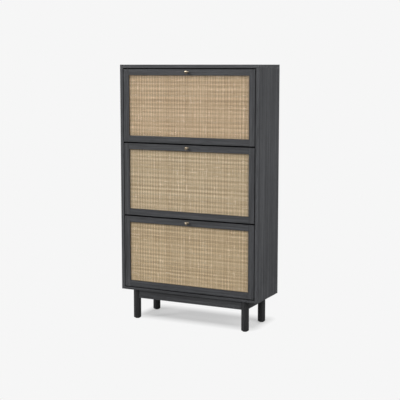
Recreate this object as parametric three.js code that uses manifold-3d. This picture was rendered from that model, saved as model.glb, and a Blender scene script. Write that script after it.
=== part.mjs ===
// Shoe cabinet: a box on a four-legged base, with three woven-cane fronts that tilt out.
// Millimetres, +Z up. X runs to the right of someone facing the fronts, and the fronts face -Y.
// The origin is on the floor, in the middle of the cabinet's outline with its knobs.
import * as THREE from "three";
import * as BufferGeometryUtils from "three/addons/utils/BufferGeometryUtils.js";
import Module from "manifold-3d";

const wasm = await Module();
wasm.setup();

// Overall sizes
const overallWidth = 700;
const overallHeight = 1200;
const carcassDepth = 240;
const legHeight = 140;

// Clearances
const seam = 0.2; // between two boards of one assembly
const fitClearance = 0.3; // round a piece let into another
const runningClearance = 1.5; // between a swinging front and what stays still
const frontSpare = 2.5; // more than that between one front and the next
const rackClearance = 4; // between a rack's arc and the board that it passes under
const rackRearClearance = 12; // between a closed rack and the back panel
const rackFloorClearance = 2; // between a closed rack and the divider below it

// Box
const panelThickness = 15;
const bottomThickness = 12;
const dividerThickness = 9;
const backThickness = 5;
const backInset = 3;
const grooveDepth = 6;

// Base
const legRadius = 17.5;
const legEdgeRadius = 4;
const legInsetX = 70;
const legInsetY = 24;
const baseRailHeight = 40;
const baseRailThickness = 18;
const glideRadius = 11;
const glideHeight = 3;

// Fronts
const levels = ["bottom", "middle", "top"];
const frontThickness = 18;
const stileWidth = 28;
const upperRailWidth = 28;
const lowerRailWidth = 30;
const sideGap = 3.5;
const topGap = 5;
const axleHeight = 15; // above the front's lower edge
const openAngle = THREE.MathUtils.degToRad(40);
const caneRecess = 6;
const caneThickness = 2;
const backingThickness = 3;
const rebateWidth = 8;

// Knobs
const knobRadius = 7.5;
const knobLength = 19;
const knobNeckLength = 8;
const knobNeckRadius = 3.4;
const knobCollarRadius = 5.2;
const knobCollarHeight = 1.2;
const knobStudRadius = 2;
const knobStudLength = 14;
const knobDrop = 13; // below the front's upper edge

// Racks
const bracketThickness = 2;
const bracketFlangeWidth = 20;
const bracketFlangeInset = 25; // the flange stops short of the bracket's ends
const bracketDrop = 8; // below the axle
const trayThickness = 3;
const trayLip = 10;
const trayInset = 3; // inside the bracket's front and rear edges
const trayEdgeMargin = 8; // inside the bracket's arc
const frontTrayStep = 45; // the front tray's wall ends this much lower than the rear one's
const trayGap = 3; // between the front tray's wall and the rear tray

// Pivot plates
const plateThickness = 2.5;
const plateMargin = 7;
const plateCornerRadius = 5;
const axleRadius = 4;
const axleEngagement = 12;
const lugRadius = 3.5;
const lugOrbit = 40; // from the axle
const lugAngle = THREE.MathUtils.degToRad(45);
const slotEndAngle = THREE.MathUtils.degToRad(0.5); // spare travel at each end

// Fineness of round surfaces
const legSegments = 24;
const legEdgeSegments = 3;
const knobSegments = 20;
const knobCurveSegments = 3;
const rodSegments = 12;
const arcSegments = 10;
const cornerSegments = 3;

// Places worked out from the sizes
const halfWidth = overallWidth / 2;
const innerHalfWidth = halfWidth - panelThickness;
const frontY = -(carcassDepth - knobLength) / 2;
const rearY = frontY + carcassDepth;
const backPanelRear = rearY - backInset;
const backPanelFront = backPanelRear - backThickness;
const bodyBottom = legHeight;
const topUnderside = overallHeight - panelThickness;
const bottomTop = bodyBottom + bottomThickness;

const frontHalfWidth = innerHalfWidth - sideGap;
const halfThickness = frontThickness / 2;
const heelRadius = Math.hypot(halfThickness, axleHeight); // the front's lower corners swing at this radius
const lowerSweep = heelRadius - axleHeight;
const bottomGap = lowerSweep + runningClearance;
const frontGap = bottomGap + frontSpare;
const frontsSpan = topUnderside - topGap - bottomTop - bottomGap;
const frontHeight = (frontsSpan - (levels.length - 1) * frontGap) / levels.length;
const pitch = frontHeight + frontGap;
const lowestAxle = bottomTop + bottomGap + axleHeight;
const axleY = frontY + halfThickness;
const axleZ = (index) => lowestAxle + index * pitch;

const dividerTopBelowAxle = bracketDrop + rackFloorClearance;
const dividerFront = axleY + heelRadius + runningClearance;
const rackRadius = pitch - dividerTopBelowAxle - dividerThickness - rackClearance;
const rackRear = backPanelFront - axleY - rackRearClearance;
const bracketInner = frontHalfWidth - bracketThickness;

// A box between two opposite corners, whichever way round they are given
function slab(x1, x2, y1, y2, z1, z2) {
  const geometry = new THREE.BoxGeometry(Math.abs(x2 - x1), Math.abs(y2 - y1), Math.abs(z2 - z1));
  geometry.translate((x1 + x2) / 2, (y1 + y2) / 2, (z1 + z2) / 2);
  return geometry;
}

function toSolid(geometry) {
  const bare = geometry.clone();
  bare.deleteAttribute("normal");
  bare.deleteAttribute("uv");
  const merged = BufferGeometryUtils.mergeVertices(bare, 1e-4);
  const vertProperties = new Float32Array(merged.attributes.position.array);
  const triVerts = new Uint32Array(merged.index.array);
  return new wasm.Manifold(new wasm.Mesh({ numProp: 3, vertProperties, triVerts }));
}

function toGeometry(solid) {
  const mesh = solid.getMesh();
  const geometry = new THREE.BufferGeometry();
  geometry.setAttribute("position", new THREE.BufferAttribute(mesh.vertProperties, 3));
  geometry.setIndex(new THREE.BufferAttribute(mesh.triVerts, 1));
  geometry.computeVertexNormals();
  return geometry;
}

function cut(geometry, ...tools) {
  return toGeometry(tools.reduce((solid, tool) => solid.subtract(toSolid(tool)), toSolid(geometry)));
}

function join(geometry, ...others) {
  return toGeometry(others.reduce((solid, other) => solid.add(toSolid(other)), toSolid(geometry)));
}

// A cylinder along X between x1 and x2, at the given y and z
function rodAlongX(radius, x1, x2, y, z) {
  const geometry = new THREE.CylinderGeometry(radius, radius, Math.abs(x2 - x1), rodSegments);
  geometry.rotateZ(Math.PI / 2);
  geometry.translate((x1 + x2) / 2, y, z);
  return geometry;
}

// Extrudes an outline drawn in (y, z) along X, from x1 to x2
function extrudeAlongX(outline, x1, x2, curveSegments) {
  const depth = Math.abs(x2 - x1);
  const geometry = new THREE.ExtrudeGeometry(outline, { depth, bevelEnabled: false, curveSegments });
  const drawnUpright = new THREE.Matrix4().makeBasis(
    new THREE.Vector3(0, 1, 0),
    new THREE.Vector3(0, 0, 1),
    new THREE.Vector3(1, 0, 0),
  );
  geometry.applyMatrix4(drawnUpright);
  geometry.translate(Math.min(x1, x2), 0, 0);
  return geometry;
}

const finishes = {
  stainedOak: new THREE.MeshStandardMaterial({ color: 0x3b3e42, roughness: 0.55, metalness: 0 }),
  blackBoard: new THREE.MeshStandardMaterial({ color: 0x26282a, roughness: 0.7, metalness: 0 }),
  cane: new THREE.MeshStandardMaterial({ color: 0xb59d80, roughness: 0.65, metalness: 0 }),
  backingBoard: new THREE.MeshStandardMaterial({ color: 0x6e5a44, roughness: 0.8, metalness: 0 }),
  brass: new THREE.MeshStandardMaterial({ color: 0xb08d4f, roughness: 0.3, metalness: 1 }),
  blackSteel: new THREE.MeshStandardMaterial({ color: 0x202224, roughness: 0.5, metalness: 0.6 }),
  blackPlastic: new THREE.MeshStandardMaterial({ color: 0x1b1c1d, roughness: 0.6, metalness: 0 }),
};

function piece(name, geometry, finish) {
  const mesh = new THREE.Mesh(geometry, finishes[finish].clone());
  mesh.name = name;
  return mesh;
}

const sides = [
  { name: "left", sign: -1 },
  { name: "right", sign: 1 },
];

// The plate's outline in (y, z) about the axle, grown by the given margin
function plateOutline(grow) {
  const reachY = lugOrbit * Math.cos(lugAngle) + plateMargin + grow;
  const reachZ = lugOrbit * Math.sin(lugAngle) + plateMargin + grow;
  const back = axleRadius + grow;
  const radius = plateCornerRadius;
  const outline = new THREE.Shape();
  outline.moveTo(-back + radius, -plateMargin - grow);
  outline.absarc(reachY - radius, -plateMargin - grow + radius, radius, -Math.PI / 2, 0, false);
  outline.absarc(reachY - radius, reachZ - radius, radius, 0, Math.PI / 2, false);
  outline.absarc(-back + radius, reachZ - radius, radius, Math.PI / 2, Math.PI, false);
  outline.absarc(-back + radius, -plateMargin - grow + radius, radius, Math.PI, Math.PI * 1.5, false);
  return outline;
}

function makeCarcass() {
  const carcass = new THREE.Group();
  const sideTop = topUnderside - seam;

  const top = slab(-halfWidth, halfWidth, frontY, rearY, topUnderside, overallHeight);
  carcass.add(piece("top_panel", top, "stainedOak"));

  for (const { name, sign } of sides) {
    const inner = sign * innerHalfWidth;
    const panel = slab(inner, sign * halfWidth, frontY, rearY, bodyBottom, sideTop);
    const groove = slab(
      inner - sign,
      inner + sign * grooveDepth,
      backPanelFront - fitClearance,
      backPanelRear + fitClearance,
      bodyBottom - 1,
      sideTop + 1,
    );
    const recesses = levels.map((level, index) => {
      const pocketFloor = inner + sign * (plateThickness + fitClearance);
      const recess = extrudeAlongX(plateOutline(fitClearance), inner - sign, pocketFloor, cornerSegments);
      recess.translate(0, axleY, axleZ(index));
      return recess;
    });
    carcass.add(piece(`side_panel_${name}`, cut(panel, groove, ...recesses), "stainedOak"));
  }

  const boardHalf = innerHalfWidth - seam;
  const boardRear = backPanelFront - seam;
  const bottom = slab(-boardHalf, boardHalf, frontY, boardRear, bodyBottom, bottomTop);
  carcass.add(piece("bottom_panel", bottom, "stainedOak"));

  ["lower", "upper"].forEach((name, index) => {
    const upperFace = axleZ(index + 1) - dividerTopBelowAxle;
    const lowerFace = upperFace - dividerThickness;
    const board = slab(-boardHalf, boardHalf, dividerFront, boardRear, lowerFace, upperFace);
    carcass.add(piece(`divider_${name}`, board, "blackBoard"));
  });

  const backHalf = innerHalfWidth + grooveDepth - fitClearance;
  const back = slab(-backHalf, backHalf, backPanelFront, backPanelRear, bodyBottom, sideTop);
  carcass.add(piece("back_panel", back, "blackBoard"));

  // The mounting rail fills the corner that the top rack's swing leaves free
  const railFront = boardRear - panelThickness;
  const swing = rackRadius + rackClearance;
  const railReach = railFront - axleY;
  const railBottom = axleZ(levels.length - 1) + Math.sqrt(swing ** 2 - Math.min(railReach, swing) ** 2);
  const rail = slab(-boardHalf, boardHalf, railFront, boardRear, railBottom, sideTop);
  carcass.add(piece("mounting_rail", rail, "blackBoard"));
  return carcass;
}

// A leg stands along Z, with a softened lower edge
function legGeometry(height) {
  const profile = new THREE.Path();
  profile.moveTo(0, 0);
  profile.lineTo(legRadius - legEdgeRadius, 0);
  profile.absarc(legRadius - legEdgeRadius, legEdgeRadius, legEdgeRadius, -Math.PI / 2, 0, false);
  profile.lineTo(legRadius, height);
  profile.lineTo(0, height);
  const geometry = new THREE.LatheGeometry(profile.getPoints(legEdgeSegments), legSegments);
  geometry.rotateX(Math.PI / 2);
  return geometry;
}

function makeBase() {
  const base = new THREE.Group();
  const legX = halfWidth - legInsetX;
  const legFrontY = frontY + legInsetY;
  const legRearY = rearY - legInsetY;
  const corners = [
    { name: "front", y: legFrontY },
    { name: "back", y: legRearY },
  ];
  const legTop = bodyBottom - seam;
  const socketRadius = legRadius + fitClearance;

  const socket = (x, y) => {
    const geometry = new THREE.CylinderGeometry(socketRadius, socketRadius, legHeight, legSegments);
    geometry.rotateX(Math.PI / 2);
    geometry.translate(x, y, legTop);
    return geometry;
  };
  const sockets = corners.flatMap(({ y }) => sides.map(({ sign }) => socket(sign * legX, y)));

  for (const corner of corners) {
    for (const { name, sign } of sides) {
      const leg = piece(`leg_${corner.name}_${name}`, legGeometry(legTop - glideHeight), "stainedOak");
      leg.position.set(sign * legX, corner.y, glideHeight);
      base.add(leg);

      const disc = new THREE.CylinderGeometry(glideRadius, glideRadius, glideHeight - seam, knobSegments);
      disc.rotateX(Math.PI / 2);
      const glide = piece(`glide_${corner.name}_${name}`, disc, "blackPlastic");
      glide.position.set(sign * legX, corner.y, (glideHeight - seam) / 2);
      base.add(glide);
    }
    const railGeometry = slab(
      -legX,
      legX,
      corner.y - baseRailThickness / 2,
      corner.y + baseRailThickness / 2,
      bodyBottom - baseRailHeight,
      legTop,
    );
    base.add(piece(`base_rail_${corner.name}`, cut(railGeometry, ...sockets), "stainedOak"));
  }

  for (const { name, sign } of sides) {
    const railGeometry = slab(
      sign * legX - baseRailThickness / 2,
      sign * legX + baseRailThickness / 2,
      legFrontY,
      legRearY,
      bodyBottom - baseRailHeight,
      legTop,
    );
    base.add(piece(`base_rail_${name}`, cut(railGeometry, ...sockets), "stainedOak"));
  }
  return base;
}

// The plate lies in the side panel, with an axle for the front and a lug for the bracket's slot
function pivotPlateGeometry(sign) {
  const inner = sign * innerHalfWidth;
  const plate = extrudeAlongX(plateOutline(0), inner, inner + sign * plateThickness, cornerSegments);
  const rooted = inner + (sign * plateThickness) / 2;
  const axleTip = sign * (frontHalfWidth - axleEngagement);
  const lugTip = sign * bracketInner;
  const lugY = lugOrbit * Math.cos(lugAngle);
  const lugZ = lugOrbit * Math.sin(lugAngle);
  return join(
    plate,
    rodAlongX(axleRadius, rooted, axleTip, 0, 0),
    rodAlongX(lugRadius, rooted, lugTip, lugY, lugZ),
  );
}

function makePivotPlates() {
  const plates = new THREE.Group();
  levels.forEach((level, index) => {
    for (const { name, sign } of sides) {
      const plate = piece(`pivot_plate_${level}_${name}`, pivotPlateGeometry(sign), "blackSteel");
      plate.position.set(0, axleY, axleZ(index));
      plates.add(plate);
    }
  });
  return plates;
}

// From here on, pieces of a front are drawn about its axle: y is 0 in the middle of the front's
// thickness, and z is 0 at the axle.
const frontBottom = -axleHeight;
const frontTop = frontHeight - axleHeight;
const openingHalfWidth = frontHalfWidth - stileWidth;
const openingBottom = frontBottom + lowerRailWidth;
const openingTop = frontTop - upperRailWidth;
const lipRear = -halfThickness + caneRecess;

// The rebate that takes the cane and its backing board, open at the rear
function panelPocket() {
  return slab(
    -openingHalfWidth - rebateWidth,
    openingHalfWidth + rebateWidth,
    lipRear,
    halfThickness + 1,
    openingBottom - rebateWidth,
    openingTop + rebateWidth,
  );
}

function knobGeometry() {
  const headLength = knobLength - knobNeckLength;
  const widest = knobNeckLength + headLength * 0.35;
  const shoulder = knobNeckLength + headLength * 0.85;
  const profile = new THREE.Path();
  profile.moveTo(0, -knobStudLength);
  profile.lineTo(knobStudRadius, -knobStudLength);
  profile.lineTo(knobStudRadius, 0);
  profile.lineTo(knobCollarRadius, 0);
  profile.lineTo(knobCollarRadius, knobCollarHeight);
  profile.quadraticCurveTo(knobNeckRadius, knobCollarHeight, knobNeckRadius, knobNeckLength / 2);
  profile.quadraticCurveTo(knobNeckRadius, knobNeckLength, knobRadius, widest);
  profile.bezierCurveTo(knobRadius, shoulder, knobRadius * 0.6, knobLength, 0, knobLength);
  const geometry = new THREE.LatheGeometry(profile.getPoints(knobCurveSegments), knobSegments);
  geometry.rotateX(Math.PI);
  return geometry;
}

function makeFront(level) {
  const front = new THREE.Group();
  const named = (part) => `front_${level}_${part}`;

  for (const { name, sign } of sides) {
    const stile = slab(
      sign * openingHalfWidth,
      sign * frontHalfWidth,
      -halfThickness,
      halfThickness,
      frontBottom,
      frontTop,
    );
    const boreEnd = sign * (frontHalfWidth - axleEngagement - fitClearance);
    const bore = rodAlongX(axleRadius + fitClearance, sign * (frontHalfWidth + 1), boreEnd, 0, 0);
    front.add(piece(named(`stile_${name}`), cut(stile, panelPocket(), bore), "stainedOak"));
  }

  const railHalf = openingHalfWidth - seam;
  const rail = (z1, z2) => slab(-railHalf, railHalf, -halfThickness, halfThickness, z1, z2);
  const knobZ = frontTop - knobDrop;
  const knobHoleRadius = knobStudRadius + fitClearance;
  const knobHoleLength = knobStudLength + fitClearance + 1;
  const knobHole = new THREE.CylinderGeometry(knobHoleRadius, knobHoleRadius, knobHoleLength, rodSegments);
  knobHole.translate(0, -halfThickness - 1 + knobHoleLength / 2, knobZ);
  const upperRail = cut(rail(openingTop, frontTop), panelPocket(), knobHole);
  front.add(piece(named("rail_upper"), upperRail, "stainedOak"));
  const lowerRail = cut(rail(frontBottom, openingBottom), panelPocket());
  front.add(piece(named("rail_lower"), lowerRail, "stainedOak"));

  const panelHalf = openingHalfWidth + rebateWidth - fitClearance;
  const panelBottom = openingBottom - rebateWidth + fitClearance;
  const panelTop = openingTop + rebateWidth - fitClearance;
  const caneFront = lipRear + fitClearance;
  const backingFront = caneFront + caneThickness + fitClearance;
  const sheet = (y, thickness) => slab(-panelHalf, panelHalf, y, y + thickness, panelBottom, panelTop);
  front.add(piece(named("cane_panel"), sheet(caneFront, caneThickness), "cane"));
  front.add(piece(named("backing_board"), sheet(backingFront, backingThickness), "backingBoard"));

  const knob = piece(named("knob"), knobGeometry(), "brass");
  knob.position.set(0, -halfThickness, knobZ);
  front.add(knob);
  return front;
}

// The bracket fills the sector that its arc sweeps: straight along the front's back, the bottom and
// the rear, and round at the top so that it passes under the board above
function bracketOutline() {
  const front = halfThickness + fitClearance;
  const arcStart = Math.acos(rackRear / rackRadius);
  const arcEnd = Math.acos((front + trayEdgeMargin) / rackRadius);
  const outline = new THREE.Shape();
  outline.moveTo(front, -bracketDrop);
  outline.lineTo(rackRear, -bracketDrop);
  outline.absarc(0, 0, rackRadius, arcStart, arcEnd, false);
  outline.lineTo(front, frontTop - bracketFlangeInset);

  const slotHalf = lugRadius + fitClearance;
  const closedEnd = lugAngle + slotEndAngle;
  const openEnd = lugAngle - openAngle - slotEndAngle;
  const slot = new THREE.Path();
  slot.absarc(0, 0, lugOrbit + slotHalf, openEnd, closedEnd, false);
  const capAt = (angle, from, to) => {
    slot.absarc(lugOrbit * Math.cos(angle), lugOrbit * Math.sin(angle), slotHalf, from, to, false);
  };
  capAt(closedEnd, closedEnd, closedEnd + Math.PI);
  slot.absarc(0, 0, lugOrbit - slotHalf, closedEnd, openEnd, true);
  capAt(openEnd, openEnd + Math.PI, openEnd + Math.PI * 2);
  outline.holes.push(slot);
  return outline;
}

function bracketGeometry(sign) {
  const plate = extrudeAlongX(bracketOutline(), sign * bracketInner, sign * frontHalfWidth, arcSegments);
  const flangeFront = halfThickness + fitClearance;
  const flange = slab(
    sign * (frontHalfWidth - bracketFlangeWidth),
    sign * frontHalfWidth,
    flangeFront,
    flangeFront + bracketThickness,
    lugOrbit + bracketFlangeInset,
    frontTop - bracketFlangeInset,
  );
  return join(plate, flange);
}

// A tray is a floor with a lip in front and a wall at the rear, drawn in (y, z)
function trayOutline(front, rear, wallTop) {
  const outline = new THREE.Shape();
  outline.moveTo(front, 0);
  outline.lineTo(rear, 0);
  outline.lineTo(rear, wallTop);
  outline.lineTo(rear - trayThickness, wallTop);
  outline.lineTo(rear - trayThickness, trayThickness);
  outline.lineTo(front + trayThickness, trayThickness);
  outline.lineTo(front + trayThickness, trayLip);
  outline.lineTo(front, trayLip);
  outline.closePath();
  return outline;
}

function makeRack(level) {
  const rack = new THREE.Group();
  for (const { name, sign } of sides) {
    rack.add(piece(`rack_${level}_bracket_${name}`, bracketGeometry(sign), "blackSteel"));
  }

  const traysFront = halfThickness + bracketThickness + trayInset;
  const traysRear = rackRear - trayInset;
  const trayDepth = (traysRear - traysFront - trayGap) / 2;
  const rearWallTop = Math.sqrt((rackRadius - trayEdgeMargin) ** 2 - traysRear ** 2);
  const trayHalf = bracketInner - fitClearance;
  const trays = [
    { name: "front", front: traysFront, wallTop: rearWallTop - frontTrayStep },
    { name: "rear", front: traysFront + trayDepth + trayGap, wallTop: rearWallTop },
  ];
  for (const tray of trays) {
    const outline = trayOutline(tray.front, tray.front + trayDepth, tray.wallTop);
    const geometry = extrudeAlongX(outline, -trayHalf, trayHalf, arcSegments);
    rack.add(piece(`rack_${level}_tray_${tray.name}`, geometry, "blackPlastic"));
  }
  return rack;
}

const cabinet = new THREE.Group();
cabinet.add(makeCarcass(), makeBase(), makePivotPlates());
levels.forEach((level, index) => {
  const flap = new THREE.Group();
  flap.position.set(0, axleY, axleZ(index));
  flap.add(makeFront(level), makeRack(level));
  cabinet.add(flap);
});

export default cabinet;
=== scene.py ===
"""Looks of the shoe cabinet: stained oak, woven cane, brass knobs, and the racks inside the fronts.

Metres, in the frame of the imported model: +Z up, +X to the right of someone facing the fronts, which
face -Y. The floor is at z = 0.
"""

import math

import bpy
import numpy as np
from mathutils import Matrix, Vector


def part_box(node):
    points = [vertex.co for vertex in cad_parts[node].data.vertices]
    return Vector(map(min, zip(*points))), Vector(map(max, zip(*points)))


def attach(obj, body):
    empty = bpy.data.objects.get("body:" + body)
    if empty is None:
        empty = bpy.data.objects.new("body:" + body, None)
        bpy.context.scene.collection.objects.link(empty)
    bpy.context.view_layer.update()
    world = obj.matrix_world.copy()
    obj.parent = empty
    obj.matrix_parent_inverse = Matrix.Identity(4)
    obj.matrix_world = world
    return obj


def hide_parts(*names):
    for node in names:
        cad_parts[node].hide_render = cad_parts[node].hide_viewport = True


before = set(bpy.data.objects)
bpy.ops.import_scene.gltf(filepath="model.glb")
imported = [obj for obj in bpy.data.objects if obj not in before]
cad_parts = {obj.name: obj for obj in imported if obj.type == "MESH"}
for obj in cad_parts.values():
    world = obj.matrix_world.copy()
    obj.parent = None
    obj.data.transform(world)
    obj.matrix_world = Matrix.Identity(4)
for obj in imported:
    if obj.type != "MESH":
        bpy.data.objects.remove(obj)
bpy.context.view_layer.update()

LEVELS = ("bottom", "middle", "top")
SIDES = (("left", -1), ("right", 1))
CORNERS = [f"{row}_{side}" for row in ("front", "back") for side, _ in SIDES]
MM = 0.001

# Colours, linear
BACKGROUND = (0.922, 0.922, 0.922)
OAK_DARK = (0.0190, 0.0196, 0.0218)
OAK_MID = (0.0410, 0.0424, 0.0462)
OAK_LIGHT = (0.0720, 0.0742, 0.0790)
OAK_PORE = (0.008, 0.008, 0.009)
# Oak lightened or darkened per piece as painted light and shade: top and sides lighter, legs much darker as
# the shade under the box
OAK_PAINTED_LIGHT = {"top": 1.35, "bottom": 1.0, "side": 1.24, "front": 1.03, "leg": 0.32}
# Near black, painted as shade on oak faces in the gaps between parts and inside the box
PAINTED_SHADE_BLACK = (0.0045, 0.0046, 0.0050)
CANE_DARK = (0.385, 0.284, 0.165)
CANE_MID = (0.570, 0.446, 0.284)
CANE_LIGHT = (0.715, 0.606, 0.428)
CANE_PALE = (0.92, 0.80, 0.62)
CANE_KNOT = (0.30, 0.18, 0.09)
CANE_FIBRE = (0.40, 0.26, 0.14)
CANE_TINTS = {"bottom": (0.975, 0.955, 0.920), "middle": (1.0, 1.0, 1.0), "top": (1.045, 0.995, 0.985)}
HARDBOARD_DARK = (0.085, 0.050, 0.028)
HARDBOARD_LIGHT = (0.170, 0.105, 0.062)
BRASS_LIGHT = (0.50, 0.43, 0.33)
BRASS_DARK = (0.20, 0.155, 0.10)
BLACK_COAT = (0.030, 0.031, 0.033)
BLACK_PLASTIC = (0.034, 0.034, 0.036)
ZINC_DARK = (0.40, 0.40, 0.39)
ZINC_LIGHT = (0.60, 0.60, 0.58)
FACING_DARK = (0.013, 0.0135, 0.0145)
FACING_LIGHT = (0.028, 0.029, 0.031)

# Furthest that one piece's texture is moved along from another's
TEXTURE_SHIFT = (37.0, 61.0, 83.0)

# Softened edges of the carried-over boards and sheets
BOARD_EDGE = 0.4 * MM
TOP_EDGE = 0.6 * MM
SHEET_EDGE = 0.3 * MM
PIVOT_EDGE = 0.25 * MM
BEVEL_SEGMENTS = 2
BEVEL_ABOVE = 40

# Greatest angle, in degrees, between faces that are shaded as one
LATHE_SMOOTH = 40
PRISM_SMOOTH = 35

# Weave: strands, then lighter and darker bars over them; sway is a share of the pitch
WARP_PITCH = 4.7 * MM
WEFT_PITCH = 4.0 * MM
WARP_WIDTH = 3.7 * MM
WEFT_WIDTH = 3.2 * MM
STRAND_THICKNESS = 0.85 * MM
WEAVE_OFFSET = 0.48 * MM
STRAND_SWAY = 0.025
STRAND_WIDTH_JITTER = 0.05
STEPS_PER_CROSSING = 2
CANE_SEED = 11
WEFT_SEED_STEP = 10
PLAID_WIDTH = 14 * MM
PLAID_HEIGHT = 20 * MM
PLAID_DRIFT = 6
PLAID_DRIFT_RATE = 11.0
PLAID_FADE_RATE = 9.0
PLAID_LOW = 0.76
PLAID_HIGH = 1.22

# Turned pieces and screws
KNOB_STUD_RADIUS = 2 * MM
KNOB_NECK = 0.45
KNOB_DOME = 0.78
LEG_ROUNDING = 4 * MM
GLIDE_ROUNDING = 0.8 * MM
LEG_TOP_EDGE = 0.4 * MM
BRACKET_SCREW_RADIUS = 3.4 * MM
BACK_SCREW_RADIUS = 3.0 * MM
PLATE_SCREW_RADIUS = 2.4 * MM

# Trays
TRAY_THICKNESS = 3 * MM
TRAY_LIP = 10 * MM
TRAY_BEND = 5 * MM
TRAY_RIBS = 6
RIB_RADIUS = 1.1 * MM

# Screws along a bracket: from its outer edge, and from the ends of the stile
BRACKET_FLANGE = 2 * MM
BRACKET_SCREWS = 3
BRACKET_SCREW_INSET = 12 * MM
BRACKET_SCREW_LOW = 95 * MM
BRACKET_SCREW_HIGH = 40 * MM

# Screws of the back panel
BACK_SCREW_ROWS = 8
BACK_SCREW_SPANS = 4
BACK_SCREW_INSET = 13 * MM
BACK_SCREW_END = 30 * MM
BACK_SCREW_FOOT = 6 * MM

# Hanging plates on the back
PLATE_FROM_SIDE = 60 * MM
PLATE_FROM_TOP = 45 * MM
PLATE_WIDTH = 34 * MM
PLATE_HEIGHT = 60 * MM
PLATE_CORNER = 5 * MM
PLATE_THICKNESS = 1.6 * MM
PLATE_SCREW_OFFSET = 23 * MM
KEYHOLE_BIG = 4.5 * MM
KEYHOLE_SMALL = 2.2 * MM
KEYHOLE_DROP = 11 * MM

# Camera, from the right and level with the top, looking a little down; angles in degrees
CAMERA_PLACE = (2.0421, -4.1230, 1.1962)
CAMERA_YAW = 26.240
CAMERA_PITCH = 7.019
CAMERA_LENS = 89.57
CAMERA_SENSOR = 36.0
CAMERA_SHIFT = -0.03

# Studio
FLOOR_REACH = 14.0
FLOOR_SIDES = 96
FLOOR_COLOUR = (0.58, 0.58, 0.58)
FLOOR_BOUNCE = (0.30, 0.30, 0.30)

# Patch of floor that takes the shadow: how far its middle lies back, how far inside the top's
# outline it stops along X and Y, how far it fades out, and its share of the backdrop's glow
SHADOW_BACK = 0.055
SHADOW_INSET = (0.068, 0.050)
SHADOW_REACH = (0.050, 0.090)
SHADOW_GLOW = 0.45

# Surroundings: even light, and what gloss reflects, with a soft box of an angle in degrees
WORLD_STRENGTH = 0.60
REFLECTION_STRENGTH = 0.50
SOFT_BOX_DIRECTION = (-1.0, -1.0, 1.1)
SOFT_BOX_ANGLE = 24
SOFT_BOX_FADE = 12
SOFT_BOX_STRENGTH = 3.2

# Suns: elevation, azimuth and softness in degrees, then strength
SUNS = {
    "key_light": (24, -42, 8, 1.48),
    "fill_light": (32, 66, 40, 1.70),
    "back_light": (38, 180, 60, 0.80),
}


# ---------------------------------------------------------------- meshes

def make_object(name, vertices, faces, smooth_angle=None):
    """A mesh object from lists or arrays of vertices and faces, smooth below the given angle."""
    mesh = bpy.data.meshes.new(name)
    mesh.from_pydata([tuple(v) for v in vertices], [], [tuple(f) for f in faces])
    mesh.update()
    piece = bpy.data.objects.new(name, mesh)
    bpy.context.scene.collection.objects.link(piece)
    if smooth_angle is not None:
        mesh.polygons.foreach_set("use_smooth", [True] * len(mesh.polygons))
        mesh.set_sharp_from_angle(angle=math.radians(smooth_angle))
    return piece


def quad_mesh(name, vertices, quads):
    """A smooth mesh of quads and nothing else, made quickly from arrays."""
    mesh = bpy.data.meshes.new(name)
    count = len(quads)
    mesh.vertices.add(len(vertices))
    mesh.vertices.foreach_set("co", np.asarray(vertices, np.float32).ravel())
    mesh.loops.add(count * 4)
    mesh.loops.foreach_set("vertex_index", np.asarray(quads, np.int32).ravel())
    mesh.polygons.add(count)
    mesh.polygons.foreach_set("loop_start", np.arange(0, count * 4, 4, dtype=np.int32))
    mesh.polygons.foreach_set("use_smooth", np.ones(count, bool))
    mesh.update(calc_edges=True)
    mesh.validate()
    piece = bpy.data.objects.new(name, mesh)
    bpy.context.scene.collection.objects.link(piece)
    return piece


def lathe(name, profile, segments, place, turn=None):
    """Turns a profile of (radius, height) points, from axis to axis, about +Z, then turns and places it."""
    rings = profile[1:-1]
    vertices = [(0, 0, profile[0][1])]
    for radius, height in rings:
        for k in range(segments):
            angle = 2 * math.pi * k / segments
            vertices.append((radius * math.cos(angle), radius * math.sin(angle), height))
    vertices.append((0, 0, profile[-1][1]))
    last = len(vertices) - 1
    faces = []
    for k in range(segments):
        after = (k + 1) % segments
        faces.append((0, 1 + after, 1 + k))
        for ring in range(len(rings) - 1):
            low = 1 + ring * segments
            high = low + segments
            faces.append((low + k, low + after, high + after, high + k))
        top = 1 + (len(rings) - 1) * segments
        faces.append((top + k, top + after, last))
    piece = make_object(name, vertices, faces, LATHE_SMOOTH)
    matrix = Matrix.Translation(place)
    if turn is not None:
        matrix = matrix @ turn
    piece.data.transform(matrix)
    return piece


def arc(centre, radius, start, end, steps):
    """Points on an arc, angles in degrees."""
    return [
        (
            centre[0] + radius * math.cos(math.radians(start + (end - start) * k / steps)),
            centre[1] + radius * math.sin(math.radians(start + (end - start) * k / steps)),
        )
        for k in range(steps + 1)
    ]


def extrude_along_x(name, outline, x1, x2):
    """A closed prism of an outline in (y, z), counter-clockwise seen from +X."""
    count = len(outline)
    vertices = [(x1, y, z) for y, z in outline] + [(x2, y, z) for y, z in outline]
    faces = [tuple(reversed(range(count))), tuple(range(count, 2 * count))]
    for k in range(count):
        after = (k + 1) % count
        faces.append((k, after, count + after, count + k))
    return make_object(name, vertices, faces, PRISM_SMOOTH)


def bevel(piece, width):
    """Rounds the sharp edges with a modifier, so the mesh itself stays as it is."""
    modifier = piece.modifiers.new("softened_edges", "BEVEL")
    modifier.width = width
    modifier.segments = BEVEL_SEGMENTS
    modifier.limit_method = "ANGLE"
    modifier.angle_limit = math.radians(BEVEL_ABOVE)
    modifier.harden_normals = True
    return piece


def finish_piece(piece, body, material, replaces=()):
    """Gives a piece its finish and its body, and hides the nodes it replaces."""
    piece.data.materials.clear()
    piece.data.materials.append(material)
    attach(piece, body)
    if replaces:
        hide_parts(*replaces)


# ---------------------------------------------------------------- materials

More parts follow.
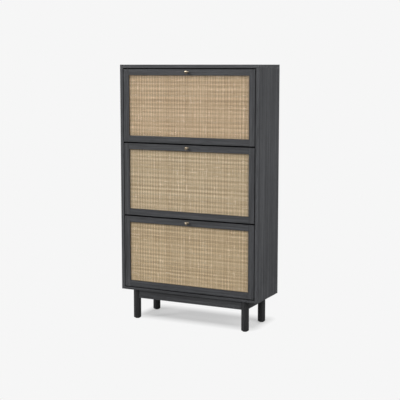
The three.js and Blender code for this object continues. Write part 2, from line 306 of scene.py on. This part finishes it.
class Shading:
    """A material's node tree, with short calls for the nodes that the finishes share."""

    def __init__(self, name):
        self.material = bpy.data.materials.new(name)
        self.material.use_nodes = True
        self.nodes = self.material.node_tree.nodes
        self.links = self.material.node_tree.links
        self.shader = self.nodes["Principled BSDF"]

    def node(self, kind, **inputs):
        made = self.nodes.new(kind)
        for key, value in inputs.items():
            made.inputs[key.replace("_", " ")].default_value = value
        return made

    def join(self, source, target):
        self.links.new(source, target)

    def coordinates(self, scale, vary=True):
        """Object coordinates, scaled, and shifted by a different amount on each piece."""
        place = self.nodes.new("ShaderNodeTexCoord")
        mapping = self.node("ShaderNodeMapping", Scale=scale)
        self.join(place.outputs["Object"], mapping.inputs["Vector"])
        if vary:
            info = self.nodes.new("ShaderNodeObjectInfo")
            shift = self.nodes.new("ShaderNodeVectorMath")
            shift.operation = "SCALE"
            shift.inputs[0].default_value = TEXTURE_SHIFT
            self.join(info.outputs["Random"], shift.inputs["Scale"])
            self.join(shift.outputs[0], mapping.inputs["Location"])
        return mapping.outputs["Vector"]

    def noise(self, vector, detail, roughness):
        made = self.node("ShaderNodeTexNoise", Scale=1.0, Detail=detail, Roughness=roughness)
        self.join(vector, made.inputs["Vector"])
        return made.outputs["Fac"]

    def ramp(self, fac, *stops):
        made = self.nodes.new("ShaderNodeValToRGB")
        elements = made.color_ramp.elements
        while len(elements) < len(stops):
            elements.new(1.0)
        for element, (position, colour) in zip(elements, stops):
            element.position = position
            element.color = (*colour, 1.0)
        self.join(fac, made.inputs["Fac"])
        return made.outputs["Color"]

    def mix(self, fac, first, second, mode="MIX"):
        made = self.nodes.new("ShaderNodeMix")
        made.data_type = "RGBA"
        made.blend_type = mode
        for value, socket in ((fac, made.inputs[0]), (first, made.inputs[6]), (second, made.inputs[7])):
            if isinstance(value, (int, float)):
                socket.default_value = value
            elif isinstance(value, tuple):
                socket.default_value = (*value, 1.0)
            else:
                self.join(value, socket)
        return made.outputs[2]

    def facing(self, direction):
        """How squarely a face looks along a direction of the model, from -1 to 1."""
        place = self.nodes.new("ShaderNodeTexCoord")
        made = self.nodes.new("ShaderNodeVectorMath")
        made.operation = "DOT_PRODUCT"
        self.join(place.outputs["Normal"], made.inputs[0])
        made.inputs[1].default_value = direction
        return made.outputs["Value"]

    def grey(self, value):
        made = self.nodes.new("ShaderNodeCombineColor")
        for channel in made.inputs:
            self.join(value, channel)
        return made.outputs[0]

    def spread(self, fac, low, high, source_low=0.0, source_high=1.0):
        made = self.nodes.new("ShaderNodeMapRange")
        made.inputs["From Min"].default_value = source_low
        made.inputs["From Max"].default_value = source_high
        made.inputs["To Min"].default_value = low
        made.inputs["To Max"].default_value = high
        self.join(fac, made.inputs["Value"])
        return made.outputs["Result"]

    def math(self, operation, first, second):
        made = self.nodes.new("ShaderNodeMath")
        made.operation = operation
        for value, socket in zip((first, second), made.inputs):
            if isinstance(value, (int, float)):
                socket.default_value = value
            else:
                self.join(value, socket)
        return made.outputs[0]

    def bump(self, height, strength, distance):
        made = self.node("ShaderNodeBump", Strength=strength, Distance=distance)
        self.join(height, made.inputs["Height"])
        self.join(made.outputs["Normal"], self.shader.inputs["Normal"])

    def set(self, **values):
        for key, value in values.items():
            self.shader.inputs[key.replace("_", " ")].default_value = value


def along(axis, length_scale, cross_scale):
    """Texture scales for a grain that runs along one axis."""
    return tuple(length_scale if name == axis else cross_scale for name in "xyz")


def stained_oak(axis, name="stained_oak", painted_light_lift=1.0, painted_shade_side=None, unshaded_side=None):
    """Oak stained charcoal: soft streaks along the grain, fine open pores and a satin top coat.

    Faces that look along the side given to be shaded are near black as painted shade, for the gaps between
    parts and the inside of the box; if a side is given to stay unshaded, every other face is near black
    painted shade too.
    """
    s = Shading(f"{name}_grain_{axis}")
    # Painted light and shade: the whole oak of a piece lightened or darkened
    tones = [tuple(painted_light_lift * channel for channel in tone) for tone in (OAK_DARK, OAK_MID, OAK_LIGHT)]
    streaks = s.noise(s.coordinates(along(axis, 1.6, 75.0)), 4.0, 0.6)
    fibres = s.noise(s.coordinates(along(axis, 9.0, 420.0)), 5.0, 0.65)
    pores = s.noise(s.coordinates(along(axis, 20.0, 950.0)), 2.0, 0.5)
    figure = s.math("ADD", s.math("MULTIPLY", streaks, 0.5), s.math("MULTIPLY", fibres, 0.5))
    colour = s.ramp(figure, (0.38, tones[0]), (0.51, tones[1]), (0.62, tones[2]))
    pore_mask = s.spread(pores, 0.0, 0.80, 0.58, 0.68)
    colour = s.mix(pore_mask, colour, OAK_PORE)
    # Painted shade: near black on faces in the gaps between parts and inside the box
    if painted_shade_side:
        colour = s.mix(s.spread(s.facing(painted_shade_side), 0.0, 1.0, 0.4, 0.7), colour, PAINTED_SHADE_BLACK)
    if unshaded_side:
        colour = s.mix(s.spread(s.facing(unshaded_side), 1.0, 0.0, 0.70, 0.90), colour, PAINTED_SHADE_BLACK)
    s.join(colour, s.shader.inputs["Base Color"])
    s.join(s.spread(fibres, 0.46, 0.66, 0.3, 0.7), s.shader.inputs["Roughness"])
    height = s.math("SUBTRACT", s.math("MULTIPLY", fibres, 0.35), s.math("MULTIPLY", pore_mask, 0.9))
    s.bump(height, 0.35, 0.0004)
    s.set(Specular_IOR_Level=0.42)
    return s.material


def cane_plaid(s):
    """Lighter and darker bars a few strands wide, straight along both directions of the weave."""
    place = s.nodes.new("ShaderNodeTexCoord")
    parts = s.nodes.new("ShaderNodeSeparateXYZ")
    s.join(place.outputs["Object"], parts.inputs[0])
    waves = []
    for output, period in (("X", PLAID_WIDTH), ("Z", PLAID_HEIGHT)):
        line = s.nodes.new("ShaderNodeCombineXYZ")
        s.join(s.math("MULTIPLY", parts.outputs[output], PLAID_DRIFT_RATE), line.inputs["X"])
        drift = s.noise(line.outputs[0], 2.0, 0.5)
        turns = s.math("MULTIPLY", parts.outputs[output], 2 * math.pi / period)
        shifted = s.math("ADD", turns, s.math("MULTIPLY", drift, PLAID_DRIFT))
        waves.append(s.math("COSINE", shifted, 0.0))
    fade = s.noise(s.coordinates((PLAID_FADE_RATE,) * 3, vary=False), 2.0, 0.5)
    depth = s.spread(fade, 0.35, 1.3, 0.35, 0.65)
    both = s.math("MULTIPLY", s.math("ADD", waves[0], waves[1]), depth)
    return s.spread(both, PLAID_LOW, PLAID_HIGH, -1.6, 1.6)


def cane(axis, pitch, level, tint):
    """Split cane: each strand has its own tone, with drawn-out streaks and a few darker joints."""
    s = Shading(f"cane_strands_{axis}_{level}")
    place = s.nodes.new("ShaderNodeTexCoord")
    parts = s.nodes.new("ShaderNodeSeparateXYZ")
    s.join(place.outputs["Object"], parts.inputs[0])
    across = parts.outputs["X" if axis == "z" else "Z"]
    lengthwise = parts.outputs["Z" if axis == "z" else "X"]
    strand = s.math("FLOOR", s.math("DIVIDE", across, pitch), 0.0)
    own = s.nodes.new("ShaderNodeTexWhiteNoise")
    own.noise_dimensions = "1D"
    s.join(strand, own.inputs["W"])
    runs = s.nodes.new("ShaderNodeCombineXYZ")
    s.join(s.math("MULTIPLY", strand, 7.3), runs.inputs[0])
    s.join(s.math("MULTIPLY", lengthwise, 16.0), runs.inputs[1])
    drift = s.noise(runs.outputs[0], 2.0, 0.5)
    fibres = s.noise(s.coordinates(along(axis, 60.0, 2600.0), vary=False), 3.0, 0.6)
    tone = s.math("ADD", s.math("MULTIPLY", own.outputs["Value"], 0.42), s.math("MULTIPLY", drift, 0.58))
    colour = s.ramp(tone, (0.16, CANE_DARK), (0.46, CANE_MID), (0.84, CANE_LIGHT))
    bright = s.spread(drift, 0.0, 0.8, 0.63, 0.72)
    colour = s.mix(bright, colour, CANE_PALE)
    colour = s.mix(1.0, s.mix(1.0, colour, s.grey(cane_plaid(s)), "MULTIPLY"), tint, "MULTIPLY")
    joint = s.spread(drift, 0.6, 0.0, 0.24, 0.31)
    colour = s.mix(joint, colour, CANE_KNOT)
    darker = s.mix(s.spread(fibres, 0.0, 0.22, 0.35, 0.75), colour, CANE_FIBRE, "MULTIPLY")
    s.join(darker, s.shader.inputs["Base Color"])
    s.join(s.spread(fibres, 0.36, 0.58), s.shader.inputs["Roughness"])
    s.bump(fibres, 0.25, 0.0001)
    s.set(Specular_IOR_Level=0.45)
    return s.material


def brass():
    s = Shading("satin_brass")
    cloud = s.noise(s.coordinates((90.0, 90.0, 90.0)), 4.0, 0.6)
    rings = s.noise(s.coordinates((300.0, 5000.0, 300.0)), 2.0, 0.5)
    s.join(s.ramp(cloud, (0.35, BRASS_DARK), (0.65, BRASS_LIGHT)), s.shader.inputs["Base Color"])
    s.join(s.spread(rings, 0.20, 0.34), s.shader.inputs["Roughness"])
    s.bump(rings, 0.08, 0.00005)
    s.set(Metallic=1.0)
    return s.material


def zinc():
    s = Shading("zinc_plated_steel")
    cloud = s.noise(s.coordinates((260.0, 260.0, 260.0)), 3.0, 0.6)
    s.join(s.ramp(cloud, (0.3, ZINC_DARK), (0.7, ZINC_LIGHT)), s.shader.inputs["Base Color"])
    s.join(s.spread(cloud, 0.28, 0.48), s.shader.inputs["Roughness"])
    s.set(Metallic=1.0)
    return s.material


def powder_coat():
    s = Shading("black_powder_coat")
    grain = s.noise(s.coordinates((900.0, 900.0, 900.0)), 3.0, 0.6)
    cloud = s.noise(s.coordinates((18.0, 18.0, 18.0)), 3.0, 0.5)
    lighter = tuple(channel * 1.5 for channel in BLACK_COAT)
    s.join(s.ramp(cloud, (0.3, BLACK_COAT), (0.7, lighter)), s.shader.inputs["Base Color"])
    s.join(s.spread(grain, 0.38, 0.56), s.shader.inputs["Roughness"])
    s.bump(grain, 0.30, 0.00015)
    return s.material


def moulded_plastic():
    s = Shading("black_moulded_plastic")
    spark = s.noise(s.coordinates((1400.0, 1400.0, 1400.0)), 2.0, 0.6)
    cloud = s.noise(s.coordinates((12.0, 12.0, 12.0)), 3.0, 0.5)
    lighter = tuple(channel * 1.6 for channel in BLACK_PLASTIC)
    s.join(s.ramp(cloud, (0.35, BLACK_PLASTIC), (0.65, lighter)), s.shader.inputs["Base Color"])
    s.join(s.spread(spark, 0.48, 0.68), s.shader.inputs["Roughness"])
    s.bump(spark, 0.35, 0.0002)
    return s.material


def hardboard():
    s = Shading("brown_hardboard")
    fibres = s.noise(s.coordinates((700.0, 700.0, 700.0)), 5.0, 0.7)
    cloud = s.noise(s.coordinates((25.0, 25.0, 25.0)), 3.0, 0.5)
    tone = s.math("ADD", s.math("MULTIPLY", fibres, 0.6), s.math("MULTIPLY", cloud, 0.4))
    s.join(s.ramp(tone, (0.3, HARDBOARD_DARK), (0.7, HARDBOARD_LIGHT)), s.shader.inputs["Base Color"])
    s.join(s.spread(fibres, 0.62, 0.85), s.shader.inputs["Roughness"])
    s.bump(fibres, 0.4, 0.0003)
    return s.material


def faced_board():
    """Board with a black paper facing that has a fine printed-in grain."""
    s = Shading("black_faced_board")
    fibres = s.noise(s.coordinates((6.0, 320.0, 320.0)), 4.0, 0.6)
    cloud = s.noise(s.coordinates((5.0, 5.0, 5.0)), 2.0, 0.5)
    tone = s.math("ADD", s.math("MULTIPLY", fibres, 0.5), s.math("MULTIPLY", cloud, 0.5))
    colour = s.ramp(tone, (0.3, FACING_DARK), (0.7, FACING_LIGHT))
    s.join(colour, s.shader.inputs["Base Color"])
    s.join(s.spread(fibres, 0.55, 0.72), s.shader.inputs["Roughness"])
    s.bump(fibres, 0.2, 0.0002)
    return s.material


# Oak copies lit and shaded by painting: lighter top and sides, legs darkened as painted shade under the box
OAK = {axis: stained_oak(axis) for axis in "xy"}
# Near black painted shade on the faces in the gaps between parts and inside the box
TOP_OAK = stained_oak("x", "top_oak", OAK_PAINTED_LIGHT["top"], painted_shade_side=(0, 0, -1))
BOTTOM_OAK = stained_oak("x", "bottom_oak", OAK_PAINTED_LIGHT["bottom"], painted_shade_side=(0, 0, 1))
SIDE_OAK = {
    side: stained_oak("z", f"side_oak_{side}", OAK_PAINTED_LIGHT["side"], painted_shade_side=(-sign, 0, 0))
    for side, sign in SIDES
}
FRONT_OAK = {
    axis: stained_oak(axis, "front_oak", OAK_PAINTED_LIGHT["front"], unshaded_side=(0, -1, 0)) for axis in "xz"
}
LEG_OAK = stained_oak("z", "leg_oak", OAK_PAINTED_LIGHT["leg"])
BRASS = brass()
STEEL = zinc()
COAT = powder_coat()
PLASTIC = moulded_plastic()
HARDBOARD = hardboard()
BOARD = faced_board()
WARP_CANE = {level: cane("z", WARP_PITCH, level, tint) for level, tint in CANE_TINTS.items()}
WEFT_CANE = {level: cane("x", WEFT_PITCH, level, tint) for level, tint in CANE_TINTS.items()}


# ---------------------------------------------------------------- carried-over boards

def paint(node, material, edge):
    """Gives a CAD node its finish, and softens its edges with a modifier."""
    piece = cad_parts[node]
    piece.data.materials.clear()
    piece.data.materials.append(material)
    bevel(piece, edge)


def paint_carcass():
    """The box, its base rails, the boards inside it and the plates that the fronts turn on."""
    paint("top_panel", TOP_OAK, TOP_EDGE)
    paint("bottom_panel", BOTTOM_OAK, BOARD_EDGE)
    for node in ("base_rail_front", "base_rail_back"):
        paint(node, OAK["x"], BOARD_EDGE)
    for side, _ in SIDES:
        paint(f"side_panel_{side}", SIDE_OAK[side], BOARD_EDGE)
    for node in ("base_rail_left", "base_rail_right"):
        paint(node, OAK["y"], BOARD_EDGE)
    for node in ("divider_lower", "divider_upper", "back_panel", "mounting_rail"):
        paint(node, BOARD, BOARD_EDGE)
    for level in LEVELS:
        for side, _ in SIDES:
            paint(f"pivot_plate_{level}_{side}", COAT, PIVOT_EDGE)


def paint_front(level):
    """A front's frame and backing board, and the brackets of its rack."""
    for side, _ in SIDES:
        paint(f"front_{level}_stile_{side}", FRONT_OAK["z"], BOARD_EDGE)
        paint(f"rack_{level}_bracket_{side}", COAT, SHEET_EDGE)
    for rail in ("upper", "lower"):
        paint(f"front_{level}_rail_{rail}", FRONT_OAK["x"], BOARD_EDGE)
    paint(f"front_{level}_backing_board", HARDBOARD, SHEET_EDGE)


# ---------------------------------------------------------------- woven cane

def strands(name, count, crossings, pitch, cross_pitch, width, vertical, low, high, face_y, seed):
    """One direction of a plain weave: flat-backed strands that pass over and under each other.

    low and high are the panel's corners; the strands are centred in it.
    """
    rng = np.random.default_rng(seed)
    steps = crossings * STEPS_PER_CROSSING + 1
    position = np.arange(steps) / STEPS_PER_CROSSING - 0.5
    across_low, along_low = (low.x, low.z) if vertical else (low.z, low.x)
    across_high, along_high = (high.x, high.z) if vertical else (high.z, high.x)
    start = (along_low + along_high) / 2 - crossings * cross_pitch / 2
    first = (across_low + across_high) / 2 - (count - 1) * pitch / 2
    lengthwise = np.clip(start + (position + 0.5) * cross_pitch, along_low, along_high)
    # Shares of the width across, and of the thickness towards the front
    section = np.array([(-0.5, 0.0), (-0.27, -1.0), (0.27, -1.0), (0.5, 0.0)])
    sides = len(section)

    vertices = np.empty((count, steps, sides, 3))
    wave = np.cos(np.pi * position)
    for k in range(count):
        turn = 1 if (k % 2 == 0) == vertical else -1
        sway = rng.normal(0.0, STRAND_SWAY) * pitch
        own_width = width * (1 + rng.normal(0.0, STRAND_WIDTH_JITTER))
        depth = face_y - turn * WEAVE_OFFSET * wave
        centre = first + k * pitch + sway
        for corner, (across, rise) in enumerate(section):
            side = centre + across * own_width
            out = depth + rise * STRAND_THICKNESS
            vertices[k, :, corner, 0] = side if vertical else lengthwise
            vertices[k, :, corner, 1] = out
            vertices[k, :, corner, 2] = lengthwise if vertical else side

    index = np.arange(count * steps * sides).reshape(count, steps, sides)
    here, after = index[:, :-1, :], index[:, 1:, :]
    around_here, around_after = np.roll(here, -1, axis=2), np.roll(after, -1, axis=2)
    walls = np.stack([here, after, around_after, around_here], axis=-1).reshape(-1, 4)
    ends = np.concatenate([index[:, 0, :], index[:, -1, ::-1]])
    if vertical:
        walls, ends = walls[:, ::-1], ends[:, ::-1]
    return quad_mesh(name, vertices.reshape(-1, 3), np.concatenate([walls, ends]))


def weave_panel(level, order):
    """A front's cane: one piece of upright strands and one of cross strands, in the CAD panel's place."""
    node = f"front_{level}_cane_panel"
    low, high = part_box(node)
    warp_count = int((high.x - low.x - WARP_WIDTH) / WARP_PITCH) + 1
    weft_count = int((high.z - low.z - WEFT_WIDTH) / WEFT_PITCH) + 1
    middle = (low.y + high.y) / 2 + STRAND_THICKNESS / 2
    warp = strands(f"cane_warp_{level}", warp_count, weft_count, WARP_PITCH, WEFT_PITCH, WARP_WIDTH,
                   True, low, high, middle, CANE_SEED + order)
    weft = strands(f"cane_weft_{level}", weft_count, warp_count, WEFT_PITCH, WARP_PITCH, WEFT_WIDTH,
                   False, low, high, middle, CANE_SEED + WEFT_SEED_STEP + order)
    body = f"flap_{level}"
    finish_piece(warp, body, WARP_CANE[level], [node])
    finish_piece(weft, body, WEFT_CANE[level], [node])


# ---------------------------------------------------------------- turned pieces

def knob(level):
    """A mushroom knob on a stud: a foot, a waisted neck and a domed head, turned about -Y."""
    node = f"front_{level}_knob"
    low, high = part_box(node)
    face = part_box(f"front_{level}_rail_upper")[0].y
    length = face - low.y
    radius = (high.x - low.x) / 2
    stud = high.y - face
    centre = Vector(((low.x + high.x) / 2, face, (low.z + high.z) / 2))
    neck = radius * KNOB_NECK
    rise = radius * KNOB_DOME
    profile = [(0, -stud), (KNOB_STUD_RADIUS, -stud), (KNOB_STUD_RADIUS, -0.1 * MM), (radius * 0.70, 0.0)]
    profile += [(radius * 0.72, 0.4 * MM), (radius * 0.69, 1.0 * MM), (radius * 0.58, 1.5 * MM)]
    profile += [(neck * 1.06, 2.4 * MM), (neck, 3.6 * MM), (neck, 5.2 * MM), (neck * 1.12, 6.8 * MM)]
    head_centre = length - rise
    dome = [
        (radius * math.cos(math.radians(a)), head_centre + rise * math.sin(math.radians(a)))
        for a in range(-52, 90, 8)
    ]
    profile += dome + [(0, length)]
    turn = Matrix.Rotation(math.radians(90), 4, "X")
    piece = lathe(f"knob_{level}", profile, 48, centre, turn)
    finish_piece(piece, f"flap_{level}", BRASS, [node])


def leg(corner):
    """A round leg with a softened lower edge, and the glide under it."""
    node = f"leg_{corner}"
    low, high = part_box(node)
    radius = (high.x - low.x) / 2
    place = Vector(((low.x + high.x) / 2, (low.y + high.y) / 2, 0.0))
    flat = radius - LEG_ROUNDING
    profile = [(0, low.z), (flat - 1.5 * MM, low.z)]
    profile += arc((flat, low.z + LEG_ROUNDING), LEG_ROUNDING, -90, 0, 8)
    profile += [(radius, (low.z + high.z) / 2), (radius, high.z - LEG_TOP_EDGE)]
    profile += [(radius - LEG_TOP_EDGE, high.z), (0, high.z)]
    piece = lathe(f"turned_leg_{corner}", profile, 64, place)
    finish_piece(piece, "cabinet", LEG_OAK, [node])

    node = f"glide_{corner}"
    low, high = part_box(node)
    radius = (high.x - low.x) / 2
    flat = radius - GLIDE_ROUNDING
    profile = [(0, low.z), (flat - 0.5 * MM, low.z)]
    profile += arc((flat, low.z + GLIDE_ROUNDING), GLIDE_ROUNDING, -90, 0, 4)
    profile += [(radius, high.z), (0, high.z)]
    piece = lathe(f"leg_glide_{corner}", profile, 40, place)
    finish_piece(piece, "cabinet", PLASTIC, [node])


def screw(name, body, place, facing, radius, material):
    """The plain pan head of a screw, standing off the surface along facing."""
    height = radius * 0.55
    rings = [(radius, 0.0), (radius * 0.98, height * 0.35), (radius * 0.80, height * 0.80)]
    profile = [(0, -0.2 * MM), (radius, -0.2 * MM), *rings, (radius * 0.45, height), (0, height)]
    turn = Vector((0, 0, 1)).rotation_difference(Vector(facing)).to_matrix().to_4x4()
    head = lathe(name, profile, 24, Vector(place), turn)
    finish_piece(head, body, material)


# ---------------------------------------------------------------- trays

def tray_outline(low, high):
    """A floor with a rounded lip in front and a wall at the rear, with grip ribs on the floor."""
    bend, thickness = TRAY_BEND, TRAY_THICKNESS
    front, rear = low.y, high.y
    floor, top = low.z, high.z
    inner_floor = floor + thickness
    lip_top = floor + TRAY_LIP - thickness / 2
    outline = [(front, lip_top)]
    outline += arc((front + bend, floor + bend), bend, 180, 270, 5)
    outline += arc((rear - bend, floor + bend), bend, 270, 360, 5)
    outline += arc((rear - thickness / 2, top - thickness / 2), thickness / 2, 0, 180, 5)
    tight = bend - thickness
    outline += arc((rear - thickness - tight, inner_floor + tight), tight, 360, 270, 4)
    span = rear - front - 2 * bend - 2 * thickness
    for k in range(TRAY_RIBS):
        centre = rear - bend - thickness - span * (k + 0.5) / TRAY_RIBS
        outline += arc((centre, inner_floor), RIB_RADIUS, 0, 180, 4)
    outline += arc((front + thickness + tight, inner_floor + tight), tight, 270, 180, 4)
    outline += arc((front + thickness / 2, lip_top), thickness / 2, 0, 180, 5)[:-1]
    return outline


def tray(level, which):
    """One of a rack's two shoe trays, as long as its CAD node."""
    node = f"rack_{level}_tray_{which}"
    low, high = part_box(node)
    piece = extrude_along_x(f"shoe_tray_{which}_{level}", tray_outline(low, high), low.x, high.x)
    finish_piece(piece, f"flap_{level}", PLASTIC, [node])


def rack_screws(level):
    """The screws that hold a rack's brackets to the stiles."""
    for side, sign in SIDES:
        low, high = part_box(f"rack_{level}_bracket_{side}")
        stile_low, stile_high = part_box(f"front_{level}_stile_{side}")
        x = sign * (abs(high.x if sign > 0 else low.x) - BRACKET_SCREW_INSET)
        y = low.y + BRACKET_FLANGE
        bottom, top = stile_low.z + BRACKET_SCREW_LOW, stile_high.z - BRACKET_SCREW_HIGH
        for k in range(BRACKET_SCREWS):
            z = bottom + (top - bottom) * k / (BRACKET_SCREWS - 1)
            name = f"bracket_screw_{level}_{side}_{k + 1}"
            place = (x, y, z)
            screw(name, f"flap_{level}", place, (0, 1, 0), BRACKET_SCREW_RADIUS, COAT)


# ---------------------------------------------------------------- back

def back_fasteners():
    """Pan-head screws round the back panel and into both dividers."""
    low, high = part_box("back_panel")
    y = high.y
    places = []
    bottom, top = low.z + BACK_SCREW_END, high.z - BACK_SCREW_END
    for k in range(BACK_SCREW_ROWS):
        z = bottom + (top - bottom) * k / (BACK_SCREW_ROWS - 1)
        places += [(low.x + BACK_SCREW_INSET, z), (high.x - BACK_SCREW_INSET, z)]
    columns = [low.x + (high.x - low.x) * k / BACK_SCREW_SPANS for k in range(1, BACK_SCREW_SPANS)]
    for x in columns:
        places += [(x, low.z + BACK_SCREW_FOOT), (x, top)]
    for node in ("divider_lower", "divider_upper"):
        board_low, board_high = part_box(node)
        places += [(x, (board_low.z + board_high.z) / 2) for x in columns]
    for number, (x, z) in enumerate(places, 1):
        name = f"back_screw_{number:02d}"
        screw(name, "cabinet", (x, y, z), (0, 1, 0), BACK_SCREW_RADIUS, STEEL)


def wall_plate(name, sign):
    """A stamped hanging plate in the recess behind the back panel, with a keyhole slot in it."""
    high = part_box("back_panel")[1]
    x = sign * (high.x - PLATE_FROM_SIDE)
    z = high.z - PLATE_FROM_TOP
    face = high.y + PLATE_THICKNESS
    outer = rounded_outline(x, z, PLATE_WIDTH / 2, PLATE_HEIGHT / 2, PLATE_CORNER)
    opening = keyhole(KEYHOLE_BIG, KEYHOLE_SMALL, KEYHOLE_DROP, len(outer))
    hole = [(x + across, z + up) for across, up in opening]
    piece = pierced_plate(name, outer, hole, high.y, face)
    finish_piece(bevel(piece, SHEET_EDGE), "cabinet", STEEL)
    for end, offset in (("low", -PLATE_SCREW_OFFSET), ("high", PLATE_SCREW_OFFSET)):
        place = (x, face, z + offset)
        screw(f"{name}_screw_{end}", "cabinet", place, (0, 1, 0), PLATE_SCREW_RADIUS, STEEL)


def rounded_outline(x, z, half_width, half_height, radius):
    """A rectangle round (x, z) with rounded corners, eight points to a corner."""
    corners = ((1, 1, 0), (-1, 1, 90), (-1, -1, 180), (1, -1, 270))
    outline = []
    for across, up, start in corners:
        centre = (x + across * (half_width - radius), z + up * (half_height - radius))
        outline += arc(centre, radius, start, start + 90, 7)
    return outline


def keyhole(big, small, drop, count):
    """A round hole with a narrower slot above it, as count points, counter-clockwise from +X."""
    half = math.degrees(math.asin(small / big))
    outline = arc((0, -drop / 2), big, 90 + half, 450 - half, count - 9)
    outline += arc((0, drop / 2), small, 0, 180, 7)
    start = max(range(count), key=lambda k: outline[k][0])
    return outline[start:] + outline[:start]


def pierced_plate(name, outer, hole, y1, y2):
    """A flat plate with one hole, its outlines given in (x, z) with the same number of points."""
    count = len(outer)
    rings = [(outer, y1), (outer, y2), (hole, y2), (hole, y1)]
    vertices = [(x, y, z) for ring, y in rings for x, z in ring]
    faces = []
    for ring in range(4):
        here, there = ring * count, (ring + 1) % 4 * count
        for k in range(count):
            after = (k + 1) % count
            faces.append((here + k, there + k, there + after, here + after))
    return make_object(name, vertices, faces)


# ---------------------------------------------------------------- studio

def make_camera():
    """A long lens with everything sharp."""
    data = bpy.data.cameras.new("camera")
    data.sensor_width = CAMERA_SENSOR
    data.lens = CAMERA_LENS
    data.shift_y = CAMERA_SHIFT
    data.dof.use_dof = False
    camera = bpy.data.objects.new("camera", data)
    camera.location = CAMERA_PLACE
    camera.rotation_euler = (math.radians(90 - CAMERA_PITCH), 0, math.radians(CAMERA_YAW))
    bpy.context.scene.collection.objects.link(camera)
    bpy.context.scene.camera = camera


def make_floor():
    """A pale floor that takes the cabinet's soft shadow and runs into the backdrop's own colour around it."""
    rim = [
        (
            FLOOR_REACH * math.cos(2 * math.pi * k / FLOOR_SIDES),
            FLOOR_REACH * math.sin(2 * math.pi * k / FLOOR_SIDES),
            0.0,
        )
        for k in range(FLOOR_SIDES)
    ]
    floor = make_object("floor", rim, [tuple(range(FLOOR_SIDES))])
    low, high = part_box("top_panel")
    s = Shading("studio_floor")
    place = s.nodes.new("ShaderNodeTexCoord")
    steps = [
        ("SUBTRACT", ((low.x + high.x) / 2, (low.y + high.y) / 2 + SHADOW_BACK, 0.0)),
        ("ABSOLUTE", None),
        ("SUBTRACT", ((high.x - low.x) / 2 - SHADOW_INSET[0], (high.y - low.y) / 2 - SHADOW_INSET[1], 0.0)),
        ("MAXIMUM", (0.0, 0.0, 0.0)),
        ("MULTIPLY", (1 / SHADOW_REACH[0], 1 / SHADOW_REACH[1], 0.0)),
    ]
    vector = place.outputs["Object"]
    for operation, value in steps:
        made = s.nodes.new("ShaderNodeVectorMath")
        made.operation = operation
        s.join(vector, made.inputs[0])
        if value:
            made.inputs[1].default_value = value
        vector = made.outputs[0]
    length = s.nodes.new("ShaderNodeVectorMath")
    length.operation = "LENGTH"
    s.join(vector, length.inputs[0])
    away = s.spread(length.outputs["Value"], SHADOW_GLOW, 1.0)
    path = s.nodes.new("ShaderNodeLightPath")
    seen = s.math("MULTIPLY", away, path.outputs["Is Camera Ray"])
    diffuse = s.nodes.new("ShaderNodeBsdfDiffuse")
    s.join(s.mix(path.outputs["Is Camera Ray"], FLOOR_BOUNCE, FLOOR_COLOUR), diffuse.inputs["Color"])
    glow = s.node("ShaderNodeEmission", Color=(*BACKGROUND, 1.0), Strength=1.0)
    both = s.nodes.new("ShaderNodeMixShader")
    s.join(seen, both.inputs[0])
    s.join(diffuse.outputs[0], both.inputs[1])
    s.join(glow.outputs[0], both.inputs[2])
    s.join(both.outputs[0], s.nodes["Material Output"].inputs["Surface"])
    floor.data.materials.append(s.material)


def make_sun(name, elevation, azimuth, softness, strength):
    """A soft distant light; azimuth 0 shines along +Y, onto the fronts."""
    data = bpy.data.lights.new(name, "SUN")
    data.energy = strength
    data.angle = math.radians(softness)
    sun = bpy.data.objects.new(name, data)
    sun.rotation_euler = (math.radians(90 - elevation), 0, math.radians(azimuth))
    bpy.context.scene.collection.objects.link(sun)


def make_world():
    """White surroundings: the backdrop's colour for the camera, even light, and one soft box to reflect."""
    world = bpy.data.worlds.new("studio")
    world.use_nodes = True
    bpy.context.scene.world = world
    nodes, links = world.node_tree.nodes, world.node_tree.links
    nodes.clear()
    seen = nodes.new("ShaderNodeBackground")
    seen.inputs["Color"].default_value = (*BACKGROUND, 1.0)
    light = nodes.new("ShaderNodeBackground")
    light.inputs["Strength"].default_value = WORLD_STRENGTH
    place = nodes.new("ShaderNodeTexCoord")
    aim = nodes.new("ShaderNodeVectorMath")
    aim.operation = "DOT_PRODUCT"
    aim.inputs[1].default_value = Vector(SOFT_BOX_DIRECTION).normalized()
    links.new(place.outputs["Generated"], aim.inputs[0])
    box = nodes.new("ShaderNodeMapRange")
    box.interpolation_type = "SMOOTHSTEP"
    box.inputs["From Min"].default_value = math.cos(math.radians(SOFT_BOX_ANGLE + SOFT_BOX_FADE))
    box.inputs["From Max"].default_value = math.cos(math.radians(SOFT_BOX_ANGLE))
    box.inputs["To Min"].default_value = REFLECTION_STRENGTH
    box.inputs["To Max"].default_value = SOFT_BOX_STRENGTH
    links.new(aim.outputs["Value"], box.inputs["Value"])
    reflected = nodes.new("ShaderNodeBackground")
    links.new(box.outputs["Result"], reflected.inputs["Strength"])
    path = nodes.new("ShaderNodeLightPath")
    glossy = nodes.new("ShaderNodeMixShader")
    links.new(path.outputs["Is Glossy Ray"], glossy.inputs[0])
    links.new(light.outputs[0], glossy.inputs[1])
    links.new(reflected.outputs[0], glossy.inputs[2])
    both = nodes.new("ShaderNodeMixShader")
    links.new(path.outputs["Is Camera Ray"], both.inputs[0])
    links.new(glossy.outputs[0], both.inputs[1])
    links.new(seen.outputs[0], both.inputs[2])
    output = nodes.new("ShaderNodeOutputWorld")
    links.new(both.outputs[0], output.inputs["Surface"])


make_camera()
make_floor()
make_world()
for name, settings in SUNS.items():
    make_sun(name, *settings)
bpy.context.scene.view_settings.view_transform = "Standard"
bpy.context.scene.view_settings.look = "None"

paint_carcass()
back_fasteners()
for side, sign in SIDES:
    wall_plate(f"wall_plate_{side}", sign)
for corner in CORNERS:
    leg(corner)
for order, level in enumerate(LEVELS):
    paint_front(level)
    weave_panel(level, order)
    knob(level)
    rack_screws(level)
    for which in ("front", "rear"):
        tray(level, which)
